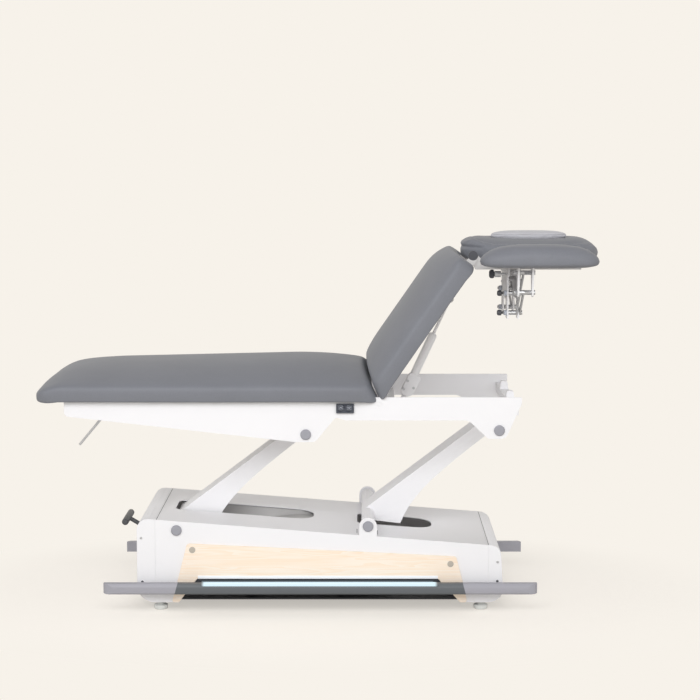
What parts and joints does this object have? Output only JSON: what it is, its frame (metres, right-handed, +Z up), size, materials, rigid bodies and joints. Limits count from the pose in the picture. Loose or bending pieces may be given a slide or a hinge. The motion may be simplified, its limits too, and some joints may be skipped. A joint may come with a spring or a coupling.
{
  "type": "treatment table",
  "caption": "Electric treatment table: wedge base with lift arms, padded seat, tilting backrest on a gas spring, folding head section with face opening and drop armrests",
  "frame": {"origin": "centre of the bounding box on the floor", "axes": "+X from the foot end to the head end, -Y to the side with the control panel, +Z up"},
  "size_m": [1.7834, 0.72, 1.1963],
  "materials": {
    "dark_plastic": "fine texture",
    "grey_cap": "matte",
    "grey_plug": "matte grained upholstery",
    "grey_upholstery": "matte grained upholstery",
    "light_strip": "translucent",
    "maple_panel": "satin lacquer",
    "motor_black": "matte",
    "pale_rubber": "matte",
    "plywood": "raw",
    "slate_bar": "satin",
    "steel": "ground",
    "white_powder_coat": "satin powder coat"
  },
  "bodies": {
    "base": {"base_cover": "white_powder_coat", "foot_end_cover": "white_powder_coat", "head_end_cover": "white_powder_coat", "base_pan": "white_powder_coat", "levelling_foot_foot_near": "pale_rubber", "levelling_foot_foot_far": "pale_rubber", "levelling_foot_head_near": "pale_rubber", "levelling_foot_head_far": "pale_rubber", "lower_axle_foot": "grey_cap", "lower_axle_head": "grey_cap", "wood_panel_near": "maple_panel", "wood_panel_far": "maple_panel", "light_strip_near": "light_strip", "light_strip_far": "light_strip", "lift_motor": "motor_black", "control_box": "motor_black"},
    "foot_arm": {"lift_arm_foot": "white_powder_coat"},
    "head_arm": {"lift_arm_head": "white_powder_coat"},
    "spindle": {"lift_spindle": "steel"},
    "pedal": {"castor_pedal": "dark_plastic"},
    "near_foot_bar": {"foot_bar_near": "slate_bar"},
    "far_foot_bar": {"foot_bar_far": "slate_bar"},
    "top_frame": {"frame_plate_near": "white_powder_coat", "frame_plate_far": "white_powder_coat", "frame_cross_foot": "white_powder_coat", "frame_cross_middle": "white_powder_coat", "frame_cross_head": "white_powder_coat", "upper_axle_foot": "grey_cap", "upper_axle_head": "grey_cap", "seat_board": "plywood", "seat_cushion": "grey_upholstery", "backrest_hinge_rod": "steel", "control_panel": "dark_plastic"},
    "up_button": {"up_button": "dark_plastic"},
    "down_button": {"down_button": "dark_plastic"},
    "lever": {"release_lever": "steel"},
    "backrest": {"backrest_frame": "white_powder_coat", "backrest_board": "plywood", "backrest_cushion": "grey_upholstery"},
    "gas_cylinder": {"gas_spring_cylinder": "steel"},
    "gas_rod": {"gas_spring_rod": "steel"},
    "head": {"head_cushion": "grey_upholstery", "head_frame": "white_powder_coat", "armrest_yoke": "white_powder_coat"},
    "face_plug": {"face_hole_plug": "grey_plug"},
    "near_upper_link": {"armrest_link_upper_near": "white_powder_coat"},
    "near_lower_link": {"armrest_link_lower_near": "white_powder_coat"},
    "near_armrest": {"armrest_bracket_near": "white_powder_coat", "armrest_cushion_near": "grey_upholstery"},
    "far_upper_link": {"armrest_link_upper_far": "white_powder_coat"},
    "far_lower_link": {"armrest_link_lower_far": "white_powder_coat"},
    "far_armrest": {"armrest_bracket_far": "white_powder_coat", "armrest_cushion_far": "grey_upholstery"}
  },
  "joints": [
    {"name": "lift", "type": "hinge", "parent": "base", "child": "foot_arm", "pos_m": [-0.46703, 0, 0.26], "axis": [0, -1, 0], "range_deg": [-32, 31]},
    {"name": "head_arm_swing", "type": "hinge", "parent": "base", "child": "head_arm", "pos_m": [0.14197, 0, 0.273], "axis": [0, -1, 0], "range_deg": [-32, 31]},
    {"name": "frame_level", "type": "hinge", "parent": "foot_arm", "child": "top_frame", "pos_m": [-0.05468, 0, 0.57186], "axis": [0, -1, 0], "range_deg": [-31, 32]},
    {"name": "spindle_stroke", "type": "slide", "parent": "base", "child": "spindle", "axis": [1, 0, 0], "range_m": [-0.05438, 0.05268]},
    {"name": "pedal_turn", "type": "hinge", "parent": "base", "child": "pedal", "pos_m": [-0.54853, 0, 0.185], "axis": [0, -1, 0], "range_deg": [0, 25]},
    {"name": "near_bar_press", "type": "slide", "parent": "base", "child": "near_foot_bar", "axis": [0, 0, -1], "range_m": [0, 0.006], "stiffness_N_per_m": 3000, "springref_m": -0.02},
    {"name": "far_bar_press", "type": "slide", "parent": "base", "child": "far_foot_bar", "axis": [0, 0, -1], "range_m": [0, 0.006], "stiffness_N_per_m": 3000, "springref_m": -0.02},
    {"name": "up_press", "type": "slide", "parent": "top_frame", "child": "up_button", "axis": [0, 1, 0], "range_m": [0, 0.0012], "stiffness_N_per_m": 400},
    {"name": "down_press", "type": "slide", "parent": "top_frame", "child": "down_button", "axis": [0, 1, 0], "range_m": [0, 0.0012], "stiffness_N_per_m": 400},
    {"name": "lever_pull", "type": "hinge", "parent": "top_frame", "child": "lever", "pos_m": [-0.69468, -0.2, 0.62686], "axis": [0, 1, 0], "range_deg": [0, 20], "stiffness_Nm_per_rad": 1},
    {"name": "backrest_tilt", "type": "hinge", "parent": "top_frame", "child": "backrest", "pos_m": [0.17632, 0, 0.66786], "axis": [0, -1, 0], "range_deg": [-55.2, 10]},
    {"name": "gas_swing", "type": "hinge", "parent": "top_frame", "child": "gas_cylinder", "pos_m": [0.25032, 0, 0.62986], "axis": [0, -1, 0], "range_deg": [-59.6, 10.81]},
    {"name": "gas_stroke", "type": "slide", "parent": "gas_cylinder", "child": "gas_rod", "axis": [0.4225, 0, 0.9064], "range_m": [-0.07318, 0.01342]},
    {"name": "head_tilt", "type": "hinge", "parent": "backrest", "child": "head", "pos_m": [0.47618, 0, 1.12803], "axis": [0, 1, 0], "range_deg": [-55, 25]},
    {"name": "plug_lift", "type": "slide", "parent": "head", "child": "face_plug", "axis": [0, 0, 1], "range_m": [0, 0.06]},
    {"name": "near_armrest_swing", "type": "hinge", "parent": "head", "child": "near_upper_link", "pos_m": [0.47618, -0.11, 1.00243], "axis": [1, 0, 0], "range_deg": [0, 45]},
    {"name": "near_armrest_level", "type": "hinge", "parent": "near_upper_link", "child": "near_armrest", "pos_m": [0.47618, -0.24986, 1.07805], "axis": [1, 0, 0], "range_deg": [-45, 0]},
    {"name": "near_lower_link_swing", "type": "hinge", "parent": "head", "child": "near_lower_link", "pos_m": [0.47618, -0.11, 0.93943], "axis": [1, 0, 0], "range_deg": [0, 45]},
    {"name": "far_armrest_swing", "type": "hinge", "parent": "head", "child": "far_upper_link", "pos_m": [0.47618, 0.11, 1.00243], "axis": [-1, 0, 0], "range_deg": [0, 45]},
    {"name": "far_armrest_level", "type": "hinge", "parent": "far_upper_link", "child": "far_armrest", "pos_m": [0.47618, 0.24986, 1.07805], "axis": [-1, 0, 0], "range_deg": [-45, 0]},
    {"name": "far_lower_link_swing", "type": "hinge", "parent": "head", "child": "far_lower_link", "pos_m": [0.47618, 0.11, 0.93943], "axis": [-1, 0, 0], "range_deg": [0, 45]}
  ],
  "couplings": [
    {"joint": "head_arm_swing", "follows": "lift", "ratio": 1},
    {"joint": "frame_level", "follows": "lift", "ratio": -1},
    {"joint": "spindle_stroke", "follows": "lift", "m_per_rad": 0.097},
    {"joint": "gas_swing", "follows": "backrest_tilt", "ratio": 1.0796},
    {"joint": "gas_stroke", "follows": "backrest_tilt", "m_per_rad": 0.07575},
    {"joint": "near_armrest_level", "follows": "near_armrest_swing", "ratio": -1},
    {"joint": "near_lower_link_swing", "follows": "near_armrest_swing", "ratio": 1},
    {"joint": "far_armrest_level", "follows": "far_armrest_swing", "ratio": -1},
    {"joint": "far_lower_link_swing", "follows": "far_armrest_swing", "ratio": 1}
  ]
}
